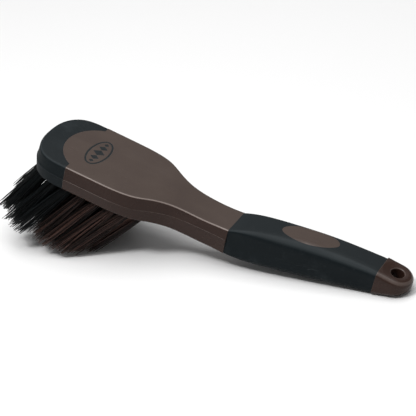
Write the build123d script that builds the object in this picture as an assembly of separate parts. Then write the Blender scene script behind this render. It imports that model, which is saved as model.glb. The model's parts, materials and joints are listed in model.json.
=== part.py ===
from build123d import *
from math import atan2, degrees, radians, tan
import os

# Long-handled stable brush: a moulded core, a soft toe bumper and grip sleeve, and stapled tufts.
# It is drawn level, with x from the toe to the handle's end and z = 0 on the head's flat top.
# The last step tips it to the way it lies on a table, on the heel bristles and the handle's end.

# Head and neck, millimetres
LENGTH = 280.0
HEAD_DEPTH = 19.4
NECK_DEPTH = 23.0  # the block is a little deeper where it runs into the handle
NECK_DIP = 2.9  # the neck's top sinks this far below the head's
FLAT_TOP_END = 88.0
FLAT_BOTTOM_END = 72.0
NECK_TOP = [(108, -1.45), (134, -NECK_DIP)]  # points on the neck's top line, x and z
NECK_BOTTOM = [(122, -22.5), (98, -20.7)]  # points on its bottom line
PARTING_Z = -10.2  # the mould's parting plane
DRAFT = tan(radians(5.0))
PARTING_STEP = 0.3  # the lower mould half is this much wider
MOULD_TOP = 4.0  # the drafted halves reach these levels before the side outline trims them
MOULD_BOTTOM = -28.0
EDGE_RADIUS = 1.5
BUMPER_RADIUS = 2.2

# Half of the outline at the parting plane, from the toe to the neck
SIDE = [
    (3.6, 18.8), (11.3, 27.0), (32, 30.4), (55, 30.2), (74, 29.3),
    (86, 26.5), (96, 21.2), (108, 16.0), (122, 13.8), (136, 13.3),
]
NECK_HALF_WIDTH = 13.4
NECK_TAPER = 0.05  # slope of the outline at the neck's end
TOE_STRETCH = 20.0  # the outline is offset towards the toe over this length

# Soft overmoulding
SKIN = 2.2
BUMPER_END = 32.0
CRESCENT_RADIUS = 26.8
CRESCENT_TOE = 16.5  # from the toe to the inner edge of the bumper's crescent
GRIP_START = 151.5
NECK_END = GRIP_START + 1.0  # the neck runs this far into the grip
NECK_END_TOP = -1.7
NECK_RISE = 0.12  # slope of the neck's top line where the grip begins
GRIP_END = 257.5
WINDOW_X = 205.0
WINDOW_HALF_LENGTH = 20.5
WINDOW_HALF_WIDTH = 8.6

# Grip stations: x, half width, top, bottom, top corner radius, bottom corner radius
GRIP = [
    (GRIP_START, 12.6, -1.8, -22.7, 1.8, 1.8),
    (161, 12.9, 2.6, -22.6, 3.2, 3.0),
    (175, 13.2, 7.6, -20.8, 6.0, 5.0),
    (190, 13.2, 11.5, -17.6, 7.8, 6.0),
    (207, 12.9, 15.0, -13.5, 8.4, 6.2),
    (225, 12.4, 17.6, -8.8, 8.2, 6.0),
    (242, 11.8, 18.9, -4.2, 7.2, 5.6),
    (GRIP_END, 11.3, 19.2, -0.2, 5.4, 5.0),
]
CORE_CORNER = 1.0  # smallest corner radius on the core inside the grip

# Hard end of the handle
END_HALF_WIDTH = 11.5
END_CENTRE = LENGTH - END_HALF_WIDTH
END_TOP = (19.5, 18.2)  # beside the grip and at the tip
END_BOTTOM = (-0.1, 9.1)
END_RADIUS = 4.0
HANG_RADIUS = 4.6
HANG_LIP = 1.2
DISH_RADIUS = 8.4
DISH_DEPTH = 1.0

# Emblem: a plain oval ring round a row of five lozenges
EMBLEM_X = 41.3
EMBLEM_HALF_LENGTH = 7.8
EMBLEM_HALF_WIDTH = 15.2
EMBLEM_LINE = 1.4
EMBLEM_DEPTH = 0.8
# Lozenges: y of the centre, half length and half width
LOZENGES = [
    (0.0, 4.7, 3.2), (6.1, 3.5, 2.5), (-6.1, 3.5, 2.5), (10.7, 1.9, 1.7), (-10.7, 1.9, 1.7),
]

# Bristles
TRIM_Z = -67.2
LEAN = (27.8, 36.3)  # towards the toe, at the toe and at the heel, in degrees
FAN_PER_MM = 0.6  # degrees of outward fan for each millimetre from the centreline
TUFT_RADIUS = 2.7
TUFT_TIP_RADIUS = 4.0
TUFT_NECK = 2.0  # a tuft keeps its hole's size this far outside the block
TUFT_REACH = 64.0  # longer than any tuft, before trimming
ROW_BOW = 3.5  # a row's tufts sit further from the toe towards its ends, by this much at ROW_SIDE
ROW_SIDE = 22.4
HOLE_DEPTH = 12.0
# Cross rows of tufts from toe to heel: x, number of tufts, y of the outermost
TUFT_ROWS = [
    (9.5, 4, 13.0), (21, 5, 19.4), (32.5, 5, 22.2), (44, 5, 22.6),
    (55.5, 5, 22.6), (67, 5, 21.8), (78, 5, 19.6), (87.7, 4, 13.8),
]

# Flat wire anchor across each tuft, near the hole's bottom: thickness, width, depth
ANCHOR_SIZE = (0.4, 6.6, 2.0)
ANCHOR_BACK = 1.2

# Resting pose: rounds of tipping, and the distance between the two places that touch the table
TILT_ROUNDS = 6
REST_SPAN = 210.0

BIG = 100.0
MARGIN = 5.0
UPRIGHT = 0.9  # a face is a top or a bottom if its normal's z is beyond this
OFF_MIDDLE = 0.37  # a place along an edge that is clear of the plane of symmetry


def block_outline(grow):
    """Outline of the head and neck as a face, moved outwards by grow."""
    stretch = [max(0.0, 1 - x / TOE_STRETCH) for x, y in SIDE]
    far = [(x - grow * k, y + grow) for (x, y), k in zip(SIDE, stretch)]
    near = [(x, -y) for x, y in far]
    end = NECK_HALF_WIDTH + grow
    points = [(GRIP_START, end), *reversed(far), (-grow, 0), *near, (GRIP_START, -end)]
    curve = Spline(points, tangents=[(-1, -NECK_TAPER), (1, -NECK_TAPER)])
    return make_face([curve, Line(curve @ 1, curve @ 0)])


def drafted_half(z_far, grow):
    """The block from the parting plane to z_far, narrowing by the draft."""
    far_grow = grow - DRAFT * abs(z_far - PARTING_Z)
    wide = Pos(0, 0, PARTING_Z) * block_outline(grow)
    narrow = Pos(0, 0, z_far) * block_outline(far_grow)
    return loft([wide, narrow], ruled=True)


def side_slab():
    """The head and neck's outline from the side, as a slab over the whole width."""
    top = [(-MARGIN, 0), (FLAT_TOP_END, 0)]
    neck = [(NECK_END, NECK_END_TOP), (NECK_END, -NECK_DEPTH)]
    bottom = [(FLAT_BOTTOM_END, -HEAD_DEPTH), (-MARGIN, -HEAD_DEPTH)]
    dip = Spline([top[1], *NECK_TOP, neck[0]], tangents=[(1, 0), (1, NECK_RISE)])
    belly = Spline([neck[1], *NECK_BOTTOM, bottom[0]], tangents=[(-1, 0), (-1, 0)])
    edges = [Line(*top), dip, Line(*neck), belly, Line(*bottom), Line(bottom[1], top[0])]
    return Pos(0, BIG / 2, 0) * extrude(Plane.XZ * make_face(edges), BIG)


def rim(half, sign):
    """Edges round the top (sign 1) or bottom (sign -1) of one half, without its flat end."""
    faces = [f for f in half.faces() if f.normal_at().Z * sign > UPRIGHT]
    edges = [e for f in faces for e in f.edges()]
    return [e for e in edges if abs((e @ OFF_MIDDLE).Y) > 1 and abs((e @ 0).X - (e @ 1).X) > 1]


def block(upper_radius):
    """Outer form of the head and neck, with rounded edges above and below."""
    slab = side_slab()
    upper = drafted_half(MOULD_TOP, 0.0) & slab
    lower = drafted_half(MOULD_BOTTOM, PARTING_STEP) & slab
    return fillet(rim(upper, 1), upper_radius) + fillet(rim(lower, -1), EDGE_RADIUS)


def bumper_zone():
    """Everything that the toe bumper may fill: round the toe, outside the crescent's circle."""
    front = Pos(BUMPER_END - BIG / 2, 0, 0) * Box(BIG, BIG, BIG)
    plug = Pos(0, 0, -SKIN) * extrude(block_outline(-SKIN), -BIG)
    circle = Pos(CRESCENT_TOE + CRESCENT_RADIUS, 0, 0) * Cylinder(CRESCENT_RADIUS, BIG)
    return front - plug - circle


def grip_section(station, inset):
    """Rounded section across the grip, as a face. The top and bottom corners differ."""
    x, half, top, bottom, r_top, r_bottom = station
    half, top, bottom = half - inset, top - inset, bottom + inset
    r_top, r_bottom = max(r_top - inset, CORE_CORNER), max(r_bottom - inset, CORE_CORNER)
    corners = [
        (half, top, r_top, 0), (-half, top, r_top, 90),
        (-half, bottom, r_bottom, 180), (half, bottom, r_bottom, 270),
    ]
    arcs = []
    for y, z, radius, start in corners:
        sign_y, sign_z = (1 if y > 0 else -1), (1 if z == top else -1)
        centre = (y - sign_y * radius, z - sign_z * radius)
        arcs.append(CenterArc(centre, radius, start, 90))
    sides = [Line(a @ 1, b @ 0) for a, b in zip(arcs, arcs[1:] + arcs[:1])]
    face = make_face([*arcs, *sides])
    return Plane(origin=(x, 0, 0), x_dir=(0, 1, 0), z_dir=(1, 0, 0)) * face


def grip_form(inset=0.0):
    """The grip's smooth form, or the core inside it."""
    return loft([grip_section(station, inset) for station in GRIP])


def window_column():
    """Upright oval column through the top of the grip, where the core shows."""
    oval = Ellipse(WINDOW_HALF_LENGTH, WINDOW_HALF_WIDTH)
    return Pos(WINDOW_X, 0, 0) * extrude(oval, BIG)


def handle_end():
    """Hard end of the handle with its hanging hole, which has soft lips and a shallow dish."""
    plan = Pos(END_CENTRE, 0) * Circle(END_HALF_WIDTH)
    plan += Pos((GRIP_END + END_CENTRE) / 2, 0) * Rectangle(END_CENTRE - GRIP_END, 2 * END_HALF_WIDTH)
    corners = [
        (GRIP_END, END_TOP[0]), (LENGTH, END_TOP[1]),
        (LENGTH, END_BOTTOM[1]), (GRIP_END, END_BOTTOM[0]),
    ]
    side = Plane.XZ * make_face(Polyline(*corners, close=True))
    slab = Pos(0, BIG / 2, 0) * extrude(side, BIG)
    body = Pos(0, 0, -BIG / 2) * extrude(plan, BIG) & slab
    edges = [e for f in body.faces() if abs(f.normal_at().Z) > UPRIGHT for e in f.edges()]
    body = fillet([e for e in edges if (e @ 0.5).X > GRIP_END + 0.1], END_RADIUS)
    dish = (DISH_RADIUS**2 + DISH_DEPTH**2) / (2 * DISH_DEPTH)
    slope = (END_TOP[1] - END_TOP[0]) / (LENGTH - GRIP_END)
    top = END_TOP[0] + slope * (END_CENTRE - GRIP_END)
    body -= Pos(END_CENTRE, 0, top - DISH_DEPTH + dish) * Sphere(dish)
    body -= Pos(END_CENTRE, 0, 0) * Cylinder(HANG_RADIUS, BIG)
    round_faces = body.faces().filter_by(GeomType.CYLINDER)
    bore = round_faces.sort_by(lambda f: abs(f.radius - HANG_RADIUS))[0]
    return fillet([e for e in bore.edges() if e.geom_type != GeomType.LINE], HANG_LIP)


def emblem():
    """Oval ring and lozenges, filling pockets in the head's top."""
    ring = Ellipse(EMBLEM_HALF_LENGTH, EMBLEM_HALF_WIDTH)
    ring -= Ellipse(EMBLEM_HALF_LENGTH - EMBLEM_LINE, EMBLEM_HALF_WIDTH - EMBLEM_LINE)
    marks = [ring]
    for y, length, width in LOZENGES:
        points = [(length, y), (0, y + width), (-length, y), (0, y - width)]
        marks.append(make_face(Polyline(*points, close=True)))
    return [Pos(EMBLEM_X, 0, 0) * extrude(mark, -EMBLEM_DEPTH) for mark in marks]


def tuft_places():
    """Name and place of each tuft, row by row from the toe."""
    places = {}
    for row, (x, count, outer) in enumerate(TUFT_ROWS, start=1):
        for i in range(count):
            y = outer * (2 * i / (count - 1) - 1)
            bow = ROW_BOW * (y / ROW_SIDE) ** 2
            places[f"tuft_{row}{'abcde'[i]}"] = tuft_plane(x + bow, y)
    return places


def tuft_plane(x, y):
    """Plane at a hole's mouth. It looks along the tuft, which leans to the toe and fans out."""
    toe_x, heel_x = TUFT_ROWS[0][0], TUFT_ROWS[-1][0]
    lean = LEAN[0] + (LEAN[1] - LEAN[0]) * (x - toe_x) / (heel_x - toe_x)
    slope = tan(radians(lean))
    along = (-slope, tan(radians(FAN_PER_MM * y)), -1)
    return Plane(origin=(x, y, -HEAD_DEPTH), x_dir=(1, 0, -slope), z_dir=along)


def hole(place):
    length = HOLE_DEPTH + TUFT_NECK
    return place * Pos(0, 0, TUFT_NECK - length / 2) * Cylinder(TUFT_RADIUS, length)


def anchor(place):
    z = -HOLE_DEPTH + ANCHOR_BACK + ANCHOR_SIZE[2] / 2
    return place * Pos(0, 0, z) * Box(*ANCHOR_SIZE)


def tuft(place):
    """One bundle of bristles: a straight root in its hole, a spreading body and a flat trim."""
    up = (Align.CENTER, Align.CENTER, Align.MIN)
    spread = Pos(0, 0, TUFT_NECK) * Cone(TUFT_RADIUS, TUFT_TIP_RADIUS, TUFT_REACH, align=up)
    trim = Pos(0, 0, TRIM_Z - BIG / 2) * Box(4 * BIG, 2 * BIG, BIG)
    return hole(place) + place * spread - trim - anchor(place)


def resting_tilt(bristles, handle):
    """Angle that brings the lowest bristle and the handle's end down to one level."""
    tilt = 0.0
    for round_number in range(TILT_ROUNDS):
        turned = [Rot(0, tilt, 0) * shape for shape in (bristles, handle)]
        low, end = [shape.bounding_box().min.Z for shape in turned]
        tilt += degrees(atan2(end - low, REST_SPAN))
    return tilt


places = tuft_places()
holes = [hole(place) for place in places.values()]
anchors = [anchor(place) for place in places.values()]
marks = emblem()
inner_grip = grip_form(SKIN)
window = window_column()
zone = bumper_zone()

core = block(EDGE_RADIUS) - zone
core += [inner_grip, grip_form() & window, handle_end()]
core -= [*holes, *anchors, *marks]

nodes = {
    "handle_core": core,
    "toe_bumper": block(BUMPER_RADIUS) & zone,
    "grip_sleeve": grip_form() - inner_grip - window,
    "emblem_inlay": Compound(marks),
    "tuft_anchors": Compound(anchors),
}
for name, place in places.items():
    nodes[name] = tuft(place)

# Tip the brush onto its heel bristles and handle end, then centre its footprint on the origin
bristles = Compound([nodes[name] for name in places])
tilt = resting_tilt(bristles, core)
turned = {name: Rot(0, tilt, 0) * shape for name, shape in nodes.items()}
box = Compound(list(turned.values())).bounding_box()
to_origin = Pos(-box.center().X, -box.center().Y, -box.min.Z)

os.makedirs("parts", exist_ok=True)
for name, shape in turned.items():
    export_step(to_origin * shape, f"parts/{name}.step")
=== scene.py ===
import json
import math

import bpy
import numpy as np
from mathutils import Matrix, Vector


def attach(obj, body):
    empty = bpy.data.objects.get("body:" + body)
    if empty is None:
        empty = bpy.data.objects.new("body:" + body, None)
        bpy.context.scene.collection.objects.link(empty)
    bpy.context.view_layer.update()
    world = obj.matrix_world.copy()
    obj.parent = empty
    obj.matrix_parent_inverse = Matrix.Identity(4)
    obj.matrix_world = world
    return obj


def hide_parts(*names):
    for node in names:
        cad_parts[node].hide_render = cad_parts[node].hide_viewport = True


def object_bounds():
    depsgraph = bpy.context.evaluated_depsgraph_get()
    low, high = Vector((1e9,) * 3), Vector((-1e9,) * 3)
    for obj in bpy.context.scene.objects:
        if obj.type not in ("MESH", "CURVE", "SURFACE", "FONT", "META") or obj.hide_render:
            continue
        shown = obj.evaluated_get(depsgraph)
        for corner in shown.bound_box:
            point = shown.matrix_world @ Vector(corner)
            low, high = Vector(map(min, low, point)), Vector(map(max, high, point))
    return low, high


# Looks for the long-handled stable brush: bristles made of single filaments, and the materials of
# the moulded core, the soft rubber and the emblem. Metres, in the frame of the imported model.

MM = 0.001

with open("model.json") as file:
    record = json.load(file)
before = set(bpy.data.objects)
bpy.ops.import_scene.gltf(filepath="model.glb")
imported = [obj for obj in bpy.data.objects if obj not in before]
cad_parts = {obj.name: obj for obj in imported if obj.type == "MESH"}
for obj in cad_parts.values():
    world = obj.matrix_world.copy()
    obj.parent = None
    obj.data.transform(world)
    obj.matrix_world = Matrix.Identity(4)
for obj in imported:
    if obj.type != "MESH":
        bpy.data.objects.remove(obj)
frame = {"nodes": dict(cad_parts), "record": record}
cad_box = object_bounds()

# ---------------------------------------------------------------- the brush's own level frame
# Its z = 0 is the head's flat top, and its x runs from the toe to the handle's end.

MOUNTS = {m["name"]: m for m in frame["record"]["mounts"]}
HANG_HOLE_X = 268.5 * MM  # from the toe to the hanging hole
HEAD_DEPTH = 19.4 * MM  # from the head's top to the face that the bristles leave


def level_frame():
    """Matrix from the brush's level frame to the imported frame, in which it lies tipped."""
    up = Vector(MOUNTS["head_top"]["axis"]).normalized()
    across = Vector((0, 1, 0))
    along = across.cross(up)
    height = Vector(MOUNTS["head_top"]["pos_m"]).dot(up)
    reach = Vector(MOUNTS["hang_hole"]["pos_m"]).dot(along) - HANG_HOLE_X
    matrix = Matrix((along, across, up)).transposed().to_4x4()
    matrix.translation = along * reach + up * height
    return matrix


LEVEL = level_frame()
LEVEL_ALONG = LEVEL.to_3x3().col[0]
LEVEL_UP = LEVEL.to_3x3().col[2]

# ---------------------------------------------------------------- camera, floor and light

CAMERA_AIM = Vector((140 * MM, 0, -10 * MM))  # the middle of the brush, in the level frame
CAMERA_DISTANCE = 1.2056
# Degrees in the level frame: around from the -Y side, up from level, and about the line of sight
CAMERA_AZIMUTH = 19.354
CAMERA_ELEVATION = 38.555
CAMERA_ROLL = 13.446
CAMERA_LENS = 152.3
CAMERA_SENSOR = 36.0
CAMERA_SHIFT = (-0.0283, 0.0368)
CAMERA_CLIP = (0.01, 100)

WORLD_COLOUR = (1, 1, 1, 1)
WORLD_STRENGTH = 0.22
FLOOR_HALF = 6.0
FLOOR_COLOUR = (0.86, 0.86, 0.86, 1)
FLOOR_ROUGHNESS = 0.9
FLOOR_SPECULAR = 0.1
# Name, azimuth, elevation, distance, size, power
LAMPS = [
    ("overhead", 0, 88, 1.6, (1.8, 1.5), 22.5),
    ("key", -24, 60, 1.5, (0.36, 0.22), 10),
    ("back", 190, 42, 2.0, (1.4, 0.7), 2),
]


def link(name, data):
    """Put a new object with this data into the scene."""
    thing = bpy.data.objects.new(name, data)
    bpy.context.scene.collection.objects.link(thing)
    return thing


def make_camera():
    data = bpy.data.cameras.new("camera")
    data.lens = CAMERA_LENS
    data.sensor_width = CAMERA_SENSOR
    data.shift_x, data.shift_y = CAMERA_SHIFT
    data.clip_start, data.clip_end = CAMERA_CLIP
    camera = link("camera", data)
    turn = Matrix.Rotation(math.radians(CAMERA_AZIMUTH), 4, "Z")
    turn @= Matrix.Rotation(math.radians(90 - CAMERA_ELEVATION), 4, "X")
    turn @= Matrix.Rotation(math.radians(CAMERA_ROLL), 4, "Z")
    back_off = Matrix.Translation((0, 0, CAMERA_DISTANCE))
    camera.matrix_world = LEVEL @ Matrix.Translation(CAMERA_AIM) @ turn @ back_off
    bpy.context.scene.camera = camera


def area_light(name, azimuth, elevation, distance, size, power):
    """A soft rectangular lamp that looks at the brush. Azimuth 0 is in front of it, at -Y."""
    data = bpy.data.lights.new(name, "AREA")
    data.shape = "RECTANGLE"
    data.size, data.size_y = size
    data.energy = power
    lamp = link(name, data)
    a, e = math.radians(azimuth), math.radians(elevation)
    back = Vector((math.sin(a) * math.cos(e), -math.cos(a) * math.cos(e), math.sin(e)))
    lamp.location = LEVEL @ CAMERA_AIM + back * distance
    lamp.rotation_mode = "QUATERNION"
    lamp.rotation_quaternion = back.to_track_quat("Z", "Y")


def make_floor():
    mesh = bpy.data.meshes.new("floor")
    corners = [(x * FLOOR_HALF, y * FLOOR_HALF, 0) for x, y in ((-1, -1), (1, -1), (1, 1), (-1, 1))]
    mesh.from_pydata(corners, [], [(0, 1, 2, 3)])
    floor = link("floor", mesh)
    material = bpy.data.materials.new("floor")
    material.use_nodes = True
    shader = material.node_tree.nodes["Principled BSDF"]
    shader.inputs["Base Color"].default_value = FLOOR_COLOUR
    shader.inputs["Roughness"].default_value = FLOOR_ROUGHNESS
    shader.inputs["Specular IOR Level"].default_value = FLOOR_SPECULAR
    floor.data.materials.append(material)


def make_studio():
    world = bpy.data.worlds.new("studio")
    world.use_nodes = True
    background = world.node_tree.nodes["Background"]
    background.inputs["Color"].default_value = WORLD_COLOUR
    background.inputs["Strength"].default_value = WORLD_STRENGTH
    bpy.context.scene.world = world
    bpy.context.scene.view_settings.view_transform = "Standard"
    for lamp in LAMPS:
        area_light(*lamp)


# ---------------------------------------------------------------- node helpers for materials

# The Mix node's colour sockets go by number, because it has several of the same name.
MIX_FIRST, MIX_SECOND, MIX_RESULT = 6, 7, 2
BEVEL_SAMPLES = 6
# Cosines between the true and the rounded normal, on a flat and on a sharp edge
EDGE_TURN = (0.99, 0.86)
# Cosines to the head's top: from a wall to a face that counts as a top
TOP_LEAN = (0.55, 0.80)
# and the two sides of the band that counts as a rounded shoulder
SHOULDER_LOW = (0.38, 0.62)
SHOULDER_HIGH = (0.84, 0.92)
# Scuffs: how the noise is stretched into lines, and where they show
SCUFF_STRETCH = (0.06, 1.0, 0.5)
SCUFF_LINE_DETAIL = (2, 0.5)  # detail and roughness
SCUFF_PATCH_NOISE = (36, 3)
SCUFF_PATCH = (0.55, 0.66)
NOISE_MIDDLE = 0.5
# Range of a noise over which a patchy value goes from its first to its second end
PATCH = (0.3, 0.7)
WORN_PATCH = (0.3, 0.75)


class Nodes:
    """A material's node tree, with short ways to add and join nodes."""

    def __init__(self, name):
        self.material = bpy.data.materials.new(name)
        self.material.use_nodes = True
        self.tree = self.material.node_tree
        self.shader = self.tree.nodes["Principled BSDF"]
        self.place = self.add("ShaderNodeTexCoord").outputs["Object"]

    def add(self, kind, **settings):
        node = self.tree.nodes.new(kind)
        for key, value in settings.items():
            setattr(node, key, value)
        return node

    def join(self, source, target):
        self.tree.links.new(source, target)

    def noise(self, scale, detail=4.0, rough=0.55, place=None, stretch=None):
        """Noise with features about 1 / scale metres across."""
        where = place or self.place
        if stretch:
            mapping = self.add("ShaderNodeMapping")
            mapping.inputs["Scale"].default_value = stretch
            self.join(where, mapping.inputs["Vector"])
            where = mapping.outputs["Vector"]
        node = self.add("ShaderNodeTexNoise")
        node.inputs["Scale"].default_value = scale
        node.inputs["Detail"].default_value = detail
        node.inputs["Roughness"].default_value = rough
        self.join(where, node.inputs["Vector"])
        return node.outputs["Fac"]

    def ramp(self, source, low, high, start, end):
        """Map source from low..high to start..end, clamped."""
        node = self.add("ShaderNodeMapRange")
        values = {"From Min": low, "From Max": high, "To Min": start, "To Max": end}
        for key, value in values.items():
            node.inputs[key].default_value = value
        self.join(source, node.inputs["Value"])
        return node.outputs["Result"]

    def mix(self, factor, first, second):
        """Blend two colours, which are tuples or sockets."""
        node = self.add("ShaderNodeMix", data_type="RGBA")
        self.join(factor, node.inputs["Factor"])
        for value, socket in ((first, node.inputs[MIX_FIRST]), (second, node.inputs[MIX_SECOND])):
            if isinstance(value, tuple):
                socket.default_value = (*value, 1)
            else:
                self.join(value, socket)
        return node.outputs[MIX_RESULT]

    def cover(self, under, source, low, high, share, over):
        """Lay a colour over another, from none where source is low to a share where it is high."""
        return self.mix(self.ramp(source, low, high, 0.0, share), under, over)

    def math(self, operation, first, second):
        node = self.add("ShaderNodeMath", operation=operation)
        for value, socket in ((first, node.inputs[0]), (second, node.inputs[1])):
            if isinstance(value, (int, float)):
                socket.default_value = value
            else:
                self.join(value, socket)
        return node.outputs[0]

    def bump(self, height, distance, strength, under=None):
        node = self.add("ShaderNodeBump")
        node.inputs["Distance"].default_value = distance
        node.inputs["Strength"].default_value = strength
        self.join(height, node.inputs["Height"])
        if under:
            self.join(under, node.inputs["Normal"])
        return node.outputs["Normal"]

    def dot(self, first, second):
        """Dot product of a socket with a socket or a fixed vector."""
        node = self.add("ShaderNodeVectorMath", operation="DOT_PRODUCT")
        self.join(first, node.inputs[0])
        if isinstance(second, Vector):
            node.inputs[1].default_value = second
        else:
            self.join(second, node.inputs[1])
        return node.outputs["Value"]

    def normal(self):
        return self.add("ShaderNodeNewGeometry").outputs["Normal"]

    def rounded(self, radius):
        """Normal that looks as if sharp edges were rounded."""
        bevel = self.add("ShaderNodeBevel", samples=BEVEL_SAMPLES)
        bevel.inputs["Radius"].default_value = radius
        return bevel.outputs["Normal"]

    def edges(self, rounded):
        """1 on sharp edges, 0 on flats, from how far the rounded normal turns away."""
        return self.ramp(self.dot(rounded, self.normal()), *EDGE_TURN, 0.0, 1.0)

    def facing_up(self):
        """1 where the surface looks up out of the head's top, 0 on walls and below."""
        return self.ramp(self.dot(self.normal(), LEVEL_UP), *TOP_LEAN, 0.0, 1.0)

    def shoulder(self):
        """1 on edges that are rounded over between the top and a wall."""
        leaning = self.dot(self.normal(), LEVEL_UP)
        above_wall = self.ramp(leaning, *SHOULDER_LOW, 0.0, 1.0)
        return self.math("MULTIPLY", above_wall, self.ramp(leaning, *SHOULDER_HIGH, 1.0, 0.0))

    def past(self, start, full):
        """0 up to one distance from the toe, along the level frame's x, and 1 from another."""
        shift = LEVEL.translation.dot(LEVEL_ALONG)
        return self.ramp(self.dot(self.place, LEVEL_ALONG), shift + start, shift + full, 0.0, 1.0)

    def scratches(self, scale, width, turn):
        """Thin long scuffs, as a mask: 1 in a scuff and 0 elsewhere."""
        mapping = self.add("ShaderNodeMapping")
        mapping.inputs["Rotation"].default_value = (0, 0, turn)
        mapping.inputs["Scale"].default_value = SCUFF_STRETCH
        self.join(self.place, mapping.inputs["Vector"])
        line = self.noise(scale, *SCUFF_LINE_DETAIL, mapping.outputs["Vector"])
        off = self.math("ABSOLUTE", self.math("SUBTRACT", line, NOISE_MIDDLE), 0.0)
        thin = self.ramp(off, 0.0, width, 1.0, 0.0)
        patch = self.ramp(self.noise(*SCUFF_PATCH_NOISE), *SCUFF_PATCH, 0.0, 1.0)
        return self.math("MULTIPLY", thin, patch)

    def finish(self, colour, roughness, normal, specular):
        """Join the results to the shader and give the material."""
        self.join(colour, self.shader.inputs["Base Color"])
        self.join(roughness, self.shader.inputs["Roughness"])
        if normal:
            self.join(normal, self.shader.inputs["Normal"])
        self.shader.inputs["Specular IOR Level"].default_value = specular
        return self.material


# ---------------------------------------------------------------- materials
# Colours are linear, and a pair holds the dark and the light end of a patchy colour. A noise is its
# scale per metre, its detail and, where there is a third number, its roughness. A cover is the noise
# at which a layer starts and is full, and its share there. A relief is a distance and a strength.
# Scuffs are a noise's scale, a line's width in the noise, and the turn of the lines in radians.

CORE_EDGE_RADIUS = 0.45 * MM
# Lit and shaded copies of one plastic: the top's colours hold painted light, the walls' darker, redder
# colours painted shade.
CORE_LIT_TOP = ((0.056, 0.040, 0.034), (0.065, 0.047, 0.039))
CORE_LIT_TOP_FLOW = (0.075, 0.056, 0.047)
CORE_LIT_TOP_SPECK = (0.10, 0.078, 0.066)
CORE_SHADED_WALL = ((0.024, 0.0110, 0.0078), (0.029, 0.0142, 0.0100))
CORE_SHADED_WALL_FLOW = (0.042, 0.023, 0.018)
CORE_SCUFF = (0.12, 0.095, 0.083)
# Painted highlight colour for the rounded shoulders between the top and the walls
CORE_SHOULDER_HIGHLIGHT = (0.275, 0.228, 0.208)
CORE_EDGE_WEAR_AND_HIGHLIGHT = (0.18, 0.14, 0.125)
CORE_CLOUD_NOISE = (28, 3)
CORE_FLOW_NOISE = (60, 4)
CORE_FLOW_STRETCH = (0.25, 1.6, 1.0)  # flow marks run along the brush
CORE_SPECK_NOISE = (1400, 2)
CORE_SCUFFS = (700, 0.012, 0.5)
CORE_RUB_NOISE = (85, 3)
CORE_WEAR_NOISE = (45, 5)
CORE_COARSE_NOISE = (90, 2)
CORE_FINE_NOISE = (1800, 2, 0.6)
CORE_FLOW_COVER = (0.45, 0.75, 0.4)
CORE_SPECK_COVER = (0.62, 0.8, 0.3)
CORE_SCUFF_SHARE = 0.35
CORE_RUB = (0.38, 0.62, 0.12, 0.5)  # noise range, and how much of the edge colour shows over it
CORE_END = (257 * MM, 258 * MM)  # the hard end starts here, beyond the grip
CORE_END_TEXTURE_AND_LIGHT = 0.15  # share of the top's texture and of its painted light that is left on the hard end
CORE_SHOULDER_HIGHLIGHT_SHARE = (0.75, 0.22)  # share of the painted shoulder highlight on the head, and on the hard end
CORE_ROUGHNESS = (0.22, 0.34)
CORE_TOP_ROUGHER = 0.08
CORE_WALL_ERODED = 0.35  # depth of the walls' spark-eroded texture, against the top's
CORE_COARSE = (0.6 * MM, 0.12)
CORE_FINE = (0.05 * MM, 0.4)
CORE_SCUFF_RELIEF = (0.04 * MM, 0.5)
CORE_SPECULAR = 0.16


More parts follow.
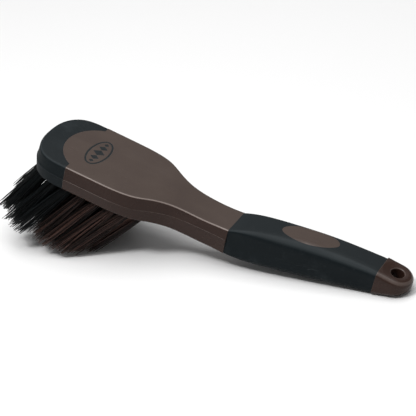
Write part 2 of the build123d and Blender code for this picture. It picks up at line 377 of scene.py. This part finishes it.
def core_plastic():
    """Dark brown polypropylene, spark-eroded on top and smoother on its walls and end, with painted
    light on the top, painted shade on the walls and the end, and a painted highlight along its
    shoulders.
    """
    n = Nodes("core_plastic")
    rounded = n.rounded(CORE_EDGE_RADIUS)
    cloud = n.ramp(n.noise(*CORE_CLOUD_NOISE), *PATCH, 0, 1)
    flow = n.noise(*CORE_FLOW_NOISE, stretch=CORE_FLOW_STRETCH)
    top = n.cover(n.mix(cloud, *CORE_LIT_TOP), flow, *CORE_FLOW_COVER, CORE_LIT_TOP_FLOW)
    top = n.cover(top, n.noise(*CORE_SPECK_NOISE), *CORE_SPECK_COVER, CORE_LIT_TOP_SPECK)
    wall = n.cover(n.mix(cloud, *CORE_SHADED_WALL), flow, *CORE_FLOW_COVER, CORE_SHADED_WALL_FLOW)
    end = n.past(*CORE_END)
    # The top's lighter colour is painted light and the walls' darker one painted shade; the same mask
    # also makes the top rougher and its erosion deeper.
    textured_and_lit = n.math("MULTIPLY", n.facing_up(), n.ramp(end, 0.0, 1.0, 1.0, CORE_END_TEXTURE_AND_LIGHT))
    colour = n.mix(textured_and_lit, wall, top)
    scuff = n.scratches(*CORE_SCUFFS)
    colour = n.mix(n.math("MULTIPLY", scuff, CORE_SCUFF_SHARE), colour, CORE_SCUFF)
    # Painted highlight: a pale band along the rounded shoulders between the top and the walls.
    painted_highlight = n.math("MULTIPLY", n.shoulder(), n.ramp(end, 0.0, 1.0, *CORE_SHOULDER_HIGHLIGHT_SHARE))
    colour = n.mix(painted_highlight, colour, CORE_SHOULDER_HIGHLIGHT)
    # Sharp edges and the parting step made paler in noisy patches: partly wear, partly a painted
    # highlight.
    rubbed_and_highlit = n.math("MULTIPLY", n.edges(rounded), n.ramp(n.noise(*CORE_RUB_NOISE), *CORE_RUB))
    colour = n.mix(rubbed_and_highlit, colour, CORE_EDGE_WEAR_AND_HIGHLIGHT)
    worn = n.ramp(n.noise(*CORE_WEAR_NOISE), *WORN_PATCH, *CORE_ROUGHNESS)
    roughness = n.math("ADD", worn, n.math("MULTIPLY", textured_and_lit, CORE_TOP_ROUGHER))
    coarse = n.bump(n.noise(*CORE_COARSE_NOISE), *CORE_COARSE, rounded)
    depth = n.ramp(textured_and_lit, 0.0, 1.0, CORE_WALL_ERODED, 1.0)
    eroded = n.math("MULTIPLY", n.noise(*CORE_FINE_NOISE), depth)
    fine = n.bump(eroded, *CORE_FINE, coarse)
    normal = n.bump(n.math("MULTIPLY", scuff, -1.0), *CORE_SCUFF_RELIEF, fine)
    return n.finish(colour, roughness, normal, CORE_SPECULAR)


RUBBER_EDGE_RADIUS = 0.5 * MM
# Lit and shaded copies of one rubber: the walls' colour is painted shade, the top's painted light.
RUBBER_SHADED_WALL = ((0.0034, 0.0062, 0.0077), (0.0048, 0.0081, 0.0099))
RUBBER_LIT_TOP = ((0.0120, 0.0155, 0.0175), (0.0148, 0.0182, 0.0200))
RUBBER_SHOULDER_HIGHLIGHT = (0.028, 0.034, 0.037)
RUBBER_SMEAR = (0.027, 0.033, 0.037)
RUBBER_DUST = (0.030, 0.034, 0.037)
RUBBER_SCUFF = (0.055, 0.062, 0.066)
RUBBER_EDGE_WEAR_AND_HIGHLIGHT = (0.035, 0.042, 0.046)
RUBBER_CLOUD_NOISE = (22, 4)
RUBBER_HIGHLIGHT_FADE_NOISE = (13, 2)
RUBBER_SMEAR_NOISE = (34, 6, 0.68)
RUBBER_DUST_NOISE = (300, 6, 0.7)
RUBBER_SCUFFS = (500, 0.010, -0.4)
RUBBER_WEAR_NOISE = (35, 4)
RUBBER_COARSE_NOISE = (70, 2)
RUBBER_PEBBLE_NOISE = (2600, 2, 0.5)
RUBBER_HIGHLIGHT_FADE = (0.38, 0.62, 0.35, 0.85)  # noise range, and how much of the painted shoulder highlight shows
RUBBER_SMEAR_COVER = (0.56, 0.74, 0.45)
RUBBER_DUST_COVER = (0.56, 0.8, 0.3)
RUBBER_SCUFF_SHARE = 0.4
RUBBER_EDGE_WEAR_AND_HIGHLIGHT_SHARE = 0.3
RUBBER_ROUGHNESS = (0.54, 0.68)
RUBBER_COARSE = (0.8 * MM, 0.15)
RUBBER_PEBBLE = (0.07 * MM, 0.5)
RUBBER_SPECULAR = 0.10


def soft_rubber():
    """Blue-black overmoulded rubber: matt and finely pebbled, with painted light on top, painted shade
    on its walls, a painted highlight along its shoulders, dust and smears.
    """
    n = Nodes("soft_rubber")
    rounded = n.rounded(RUBBER_EDGE_RADIUS)
    cloud = n.ramp(n.noise(*RUBBER_CLOUD_NOISE), *PATCH, 0, 1)
    # Painted light and shade: the top takes a lighter colour than the walls.
    colour = n.mix(n.facing_up(), n.mix(cloud, *RUBBER_SHADED_WALL), n.mix(cloud, *RUBBER_LIT_TOP))
    # Painted highlight along the rounded shoulders, fading in patches.
    highlight_fade = n.ramp(n.noise(*RUBBER_HIGHLIGHT_FADE_NOISE), *RUBBER_HIGHLIGHT_FADE)
    colour = n.mix(n.math("MULTIPLY", n.shoulder(), highlight_fade), colour, RUBBER_SHOULDER_HIGHLIGHT)
    colour = n.cover(colour, n.noise(*RUBBER_SMEAR_NOISE), *RUBBER_SMEAR_COVER, RUBBER_SMEAR)
    colour = n.cover(colour, n.noise(*RUBBER_DUST_NOISE), *RUBBER_DUST_COVER, RUBBER_DUST)
    scuff = n.scratches(*RUBBER_SCUFFS)
    colour = n.mix(n.math("MULTIPLY", scuff, RUBBER_SCUFF_SHARE), colour, RUBBER_SCUFF)
    # Sharp edges made paler: partly wear, partly a painted highlight.
    colour = n.cover(colour, n.edges(rounded), 0.0, 1.0, RUBBER_EDGE_WEAR_AND_HIGHLIGHT_SHARE, RUBBER_EDGE_WEAR_AND_HIGHLIGHT)
    roughness = n.ramp(n.noise(*RUBBER_WEAR_NOISE), *WORN_PATCH, *RUBBER_ROUGHNESS)
    coarse = n.bump(n.noise(*RUBBER_COARSE_NOISE), *RUBBER_COARSE, rounded)
    normal = n.bump(n.noise(*RUBBER_PEBBLE_NOISE), *RUBBER_PEBBLE, coarse)
    return n.finish(colour, roughness, normal, RUBBER_SPECULAR)


EMBLEM_COLOUR = ((0.006, 0.009, 0.0105), (0.011, 0.015, 0.017))
EMBLEM_CLOUD_NOISE = (400, 4)
EMBLEM_WEAR_NOISE = (900, 2)
EMBLEM_RELIEF_NOISE = (2200, 2)
EMBLEM_ROUGHNESS = (0.5, 0.62)
EMBLEM_RELIEF = (0.05 * MM, 0.5)
EMBLEM_SPECULAR = 0.25


def emblem_black():
    """Matt black inlay with a slightly rough face."""
    n = Nodes("emblem_black")
    colour = n.mix(n.ramp(n.noise(*EMBLEM_CLOUD_NOISE), *PATCH, 0, 1), *EMBLEM_COLOUR)
    roughness = n.ramp(n.noise(*EMBLEM_WEAR_NOISE), *PATCH, *EMBLEM_ROUGHNESS)
    normal = n.bump(n.noise(*EMBLEM_RELIEF_NOISE), *EMBLEM_RELIEF)
    return n.finish(colour, roughness, normal, EMBLEM_SPECULAR)


WIRE_COLOUR = ((0.45, 0.45, 0.44), (0.62, 0.62, 0.60))
WIRE_ROUGHNESS = (0.25, 0.42)
WIRE_NOISE = (3000, 2)
WIRE_STRETCH = (0.05, 1, 1)  # drawn out into long lines
WIRE_SPECULAR = 0.5


def anchor_wire():
    """Tinned flat wire with fine drawing lines."""
    n = Nodes("anchor_wire")
    lines = n.noise(*WIRE_NOISE, stretch=WIRE_STRETCH)
    n.shader.inputs["Metallic"].default_value = 1.0
    roughness = n.ramp(lines, *PATCH, *WIRE_ROUGHNESS)
    return n.finish(n.mix(lines, *WIRE_COLOUR), roughness, None, WIRE_SPECULAR)


# Dark filaments, pale filaments and cut tips
BLACK_BRISTLE = ((0.0008, 0.0014, 0.0017), (0.0085, 0.0135, 0.0155), (0.008, 0.010, 0.011))
BROWN_BRISTLE = ((0.0040, 0.0025, 0.0022), (0.165, 0.088, 0.070), (0.080, 0.048, 0.040))
SHADE_CURVE = 3.2  # higher makes pale filaments rarer
GRIME_COVER = (0.45, 0.75, 0.4)
TIP_COVER = (0.93, 1.0, 0.6)  # along a filament, from its root at 0 to its tip at 1
GRIME_NOISE = (900, 3)
BRISTLE_WEAR_NOISE = (500, 2)
BRISTLE_RELIEF_NOISE = (3500, 2)
BRISTLE_ROUGHNESS = (0.34, 0.48)
BRISTLE_RELIEF = (0.03 * MM, 0.4)
BRISTLE_SPECULAR = 0.13


def bristle(name, dark, light, tip):
    """Stiff filament. The shade attribute varies it, and its cut tip has a colour of its own."""
    n = Nodes(name)
    shade = n.add("ShaderNodeAttribute", attribute_name="shade").outputs["Fac"]
    along = n.add("ShaderNodeAttribute", attribute_name="along").outputs["Fac"]
    colour = n.mix(n.math("POWER", shade, SHADE_CURVE), dark, light)
    colour = n.cover(colour, n.noise(*GRIME_NOISE), *GRIME_COVER, dark)
    colour = n.cover(colour, along, *TIP_COVER, tip)
    roughness = n.ramp(n.noise(*BRISTLE_WEAR_NOISE), *PATCH, *BRISTLE_ROUGHNESS)
    normal = n.bump(n.noise(*BRISTLE_RELIEF_NOISE), *BRISTLE_RELIEF)
    return n.finish(colour, roughness, normal, BRISTLE_SPECULAR)


# ---------------------------------------------------------------- bristles

TUFT_PREFIX = "tuft_"  # then the row's number and the tuft's letter
FIRST_BROWN_ROW = 4
FIRST_SEED = 100
# A packed tuft's vertices this near its cut plane are its cut, and this near its far end are its root
CUT_DEPTH = 0.05 * MM
ROOT_DEPTH = 0.7 * MM

FILAMENTS = 80  # in one tuft
FILAMENT_RADIUS = 0.33 * MM
FILAMENT_SIDES = 5
FILAMENT_RINGS = 10
THICKNESS = (0.8, 1.15)  # how a filament's radius varies
TIP_THINNER = 0.35  # share of the radius that it loses towards its tip
THINNING_POWER = 6  # higher keeps the thinning closer to the tip
ROOT_RADIUS = 2.6 * MM
TIP_RADIUS = 5.6 * MM
SINK = 2.0 * MM  # how far a filament reaches into its hole
GOLDEN_ANGLE = math.pi * (3 - math.sqrt(5))

LOCKS = 5  # a tuft's filaments lean together in about this many locks
LOCK_PULL = 0.62
LOCK_PULLS = (0.5, 1.3)  # how the pull varies from filament to filament
LOCK_TURN = 0.5  # radians that a lock may stand off its even place round the tuft
LOCK_REACH = (0.35, 0.95)  # share of the tuft's radius at which a lock stands
LOCK_SHADE = 0.45  # how far a filament's shade follows its lock's
SPLAY = 1.25 * MM  # random sideways shift of a tip
STRAYS = 0.04  # share of filaments that stand off, with this many times the splay
STRAY_SPLAY = 2.2
TUFT_STRAY = 1.2 * MM  # how far a whole tuft's tip may wander
FAN_CURVE = 0.5  # below 1, a tuft fans out faster near its hole
BOW = 1.3 * MM  # how far a filament may bend from a straight line
BOW_WAVES = (0.6, 1.4)  # half waves in the bend
UNEVEN = 1.6 * MM  # how much the cut lengths differ
CUTS = (-0.4, 1.0)  # longer and shorter, in shares of that
LOCK_UNEVEN = 1.4 * MM  # and how much they differ from lock to lock
LOCK_CUTS = (-0.5, 1.0)
SHORT_ONES = 0.06  # share of filaments that are cut shorter, by this much
SHORT_BY = 4.5 * MM
FLOOR_GAP = 0.3 * MM
PROUD = 1.2 * MM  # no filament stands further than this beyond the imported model's sides
YIELD = 4.0 * MM  # filaments bend back smoothly over this last width before that limit


def tuft_axis(node):
    """Where a tuft's axis leaves the head and where it is trimmed, in the level frame."""
    to_level = np.array(LEVEL.inverted())
    co = np.array([v.co for v in node.data.vertices]) @ to_level[:3, :3].T + to_level[:3, 3]
    cut = co[co[:, 2] < co[:, 2].min() + CUT_DEPTH]
    tip = (cut.min(0) + cut.max(0)) / 2
    reach = np.linalg.norm(co - tip, axis=1)
    end = co[reach > reach.max() - ROOT_DEPTH]
    root = (end.min(0) + end.max(0)) / 2
    mouth = root + (tip - root) * ((-HEAD_DEPTH - root[2]) / (tip[2] - root[2]))
    return mouth, tip


def on_circle(angle):
    """Points on a unit circle."""
    return np.stack([np.cos(angle), np.sin(angle)], 1)


def held_normal(rng, spread, shape, limit):
    """Normal random numbers of a given spread that stay within a limit."""
    return rng.normal(0, spread, shape).clip(-limit, limit)


def tip_spots(rng, turn, spot):
    """Where filaments end across a tuft, drawn together into locks, and each filament's lock."""
    even = turn + np.arange(LOCKS) * 2 * math.pi / LOCKS
    lock_angle = even + rng.uniform(-LOCK_TURN, LOCK_TURN, LOCKS)
    locks = on_circle(lock_angle) * rng.uniform(*LOCK_REACH, LOCKS)[:, None]
    nearest = np.argmin(np.linalg.norm(spot[:, None] - locks[None], axis=2), axis=1)
    pull = LOCK_PULL * rng.uniform(*LOCK_PULLS, FILAMENTS)[:, None]
    tips = (spot * (1 - pull) + locks[nearest] * pull) * TIP_RADIUS
    loose = np.where(rng.random((FILAMENTS, 1)) < STRAYS, STRAY_SPLAY, 1.0)
    tips += loose * held_normal(rng, SPLAY, (FILAMENTS, 2), 2 * SPLAY)
    tips += held_normal(rng, TUFT_STRAY, 2, 2 * TUFT_STRAY)
    return tips, nearest


def filament_lines(rng, mouth, tip):
    """Centre lines of one tuft's filaments in the level frame, and a shade for each, 0 to 1."""
    axis = (tip - mouth) / np.linalg.norm(tip - mouth)
    side = np.cross(axis, (0, 1, 0))
    side /= np.linalg.norm(side)
    across = np.stack([side, np.cross(axis, side)])
    turn = rng.uniform(0, 2 * math.pi)
    count = np.arange(FILAMENTS)
    spot = on_circle(turn + count * GOLDEN_ANGLE) * np.sqrt((count + 0.5) / FILAMENTS)[:, None]
    root_spot = spot * ROOT_RADIUS
    tip_spot, nearest = tip_spots(rng, turn, spot)
    start = mouth - axis * SINK + root_spot @ across
    end = tip + tip_spot @ across
    # trimmed at the cut plane, unevenly, along each filament's own line
    cut = tip[2] + rng.uniform(*CUTS, FILAMENTS) * UNEVEN
    cut += rng.uniform(*LOCK_CUTS, LOCKS)[nearest] * LOCK_UNEVEN
    cut[rng.random(FILAMENTS) < SHORT_ONES] += SHORT_BY
    end = start + (end - start) * ((cut - start[:, 2]) / (end[:, 2] - start[:, 2]))[:, None]
    bow = held_normal(rng, BOW / 2, (FILAMENTS, 2), BOW) @ across
    wave = rng.uniform(*BOW_WAVES, FILAMENTS)[:, None, None]
    t = np.linspace(0, 1, FILAMENT_RINGS)[None, :, None]
    line = start[:, None] * (1 - t) + end[:, None] * t
    fan = (tip_spot - root_spot) @ across
    line += fan[:, None] * (t**FAN_CURVE - t)
    line += bow[:, None] * np.sin(np.pi * t * wave) * t
    shade = LOCK_SHADE * rng.random(LOCKS)[nearest] + (1 - LOCK_SHADE) * rng.random(FILAMENTS)
    return line, shade


def hold_in(lines):
    """Keep centre lines off the floor and within the limit at the brush's sides."""
    lines[..., 2] = np.maximum(lines[..., 2], FLOOR_GAP + FILAMENT_RADIUS)
    limit = cad_box[1][1] + PROUD
    beyond = np.abs(lines[..., 1]) - (limit - YIELD)
    held = np.sign(lines[..., 1]) * (limit - YIELD * np.exp(-beyond.clip(0) / YIELD))
    lines[..., 1] = np.where(beyond > 0, held, lines[..., 1])
    return lines


def tube_points(lines, rng):
    """Rings of points round the lines, thinner at the tips."""
    along = np.gradient(lines, axis=1)
    along /= np.linalg.norm(along, axis=2, keepdims=True)
    side = np.cross(along, (0.0, 1.0, 0.0))
    side /= np.linalg.norm(side, axis=2, keepdims=True)
    over = np.cross(along, side)
    thinning = 1 - TIP_THINNER * np.linspace(0, 1, FILAMENT_RINGS) ** THINNING_POWER
    thick = FILAMENT_RADIUS * rng.uniform(*THICKNESS, len(lines))[:, None] * thinning[None]
    angle = np.arange(FILAMENT_SIDES) * 2 * math.pi / FILAMENT_SIDES
    ring = side[:, :, None] * np.cos(angle)[:, None] + over[:, :, None] * np.sin(angle)[:, None]
    return lines[:, :, None] + ring * thick[:, :, None, None]


def tube_faces(total):
    """Faces of closed tubes whose points run ring after ring."""
    faces = []
    sides = range(FILAMENT_SIDES)
    for i in range(total):
        base = i * FILAMENT_RINGS * FILAMENT_SIDES
        for j in range(FILAMENT_RINGS - 1):
            low = base + j * FILAMENT_SIDES
            high = low + FILAMENT_SIDES
            for k in sides:
                after = (k + 1) % FILAMENT_SIDES
                faces.append((low + k, low + after, high + after, high + k))
        last = base + (FILAMENT_RINGS - 1) * FILAMENT_SIDES
        faces.append(tuple(base + k for k in reversed(sides)))
        faces.append(tuple(last + k for k in sides))
    return faces


def filament_mesh(name, lines, shade, rng):
    """Round tubes along the lines, closed at both ends, with a shade and a length attribute."""
    matrix = np.array(LEVEL)
    lines = hold_in(lines @ matrix[:3, :3].T + matrix[:3, 3])
    faces = tube_faces(FILAMENTS)
    mesh = bpy.data.meshes.new(name)
    mesh.from_pydata(tube_points(lines, rng).reshape(-1, 3).tolist(), [], faces)
    mesh.polygons.foreach_set("use_smooth", [len(face) == 4 for face in faces])
    shades = np.repeat(shade, FILAMENT_RINGS * FILAMENT_SIDES)
    lengths = np.tile(np.repeat(np.linspace(0, 1, FILAMENT_RINGS), FILAMENT_SIDES), FILAMENTS)
    for key, values in (("shade", shades), ("along", lengths)):
        mesh.attributes.new(key, "FLOAT", "POINT").data.foreach_set("value", values.astype(np.float32))
    return mesh


def make_bristles():
    """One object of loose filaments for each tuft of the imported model."""
    black = bristle("black_bristle", *BLACK_BRISTLE)
    brown = bristle("brown_bristle", *BROWN_BRISTLE)
    tufts = sorted(n for n in frame["nodes"] if n.startswith(TUFT_PREFIX) and n != "tuft_anchors")
    for number, name in enumerate(tufts):
        rng = np.random.default_rng(FIRST_SEED + number)
        spot = name.removeprefix(TUFT_PREFIX)
        is_brown = int(spot[0]) >= FIRST_BROWN_ROW
        lines, shade = filament_lines(rng, *tuft_axis(frame["nodes"][name]))
        mesh = filament_mesh("bristles_" + spot, lines, shade, rng)
        mesh.materials.append(brown if is_brown else black)
        bundle = link(mesh.name, mesh)
        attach(bundle, "root")
        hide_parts(name)


# ---------------------------------------------------------------- the scene


def dress_nodes():
    """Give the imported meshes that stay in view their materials."""
    rubber = soft_rubber()
    looks = {
        "handle_core": core_plastic(),
        "toe_bumper": rubber,
        "grip_sleeve": rubber,
        "emblem_inlay": emblem_black(),
        "tuft_anchors": anchor_wire(),
    }
    for name, material in looks.items():
        slots = frame["nodes"][name].data.materials
        slots.clear()
        slots.append(material)


make_camera()
make_floor()
make_studio()
dress_nodes()
make_bristles()
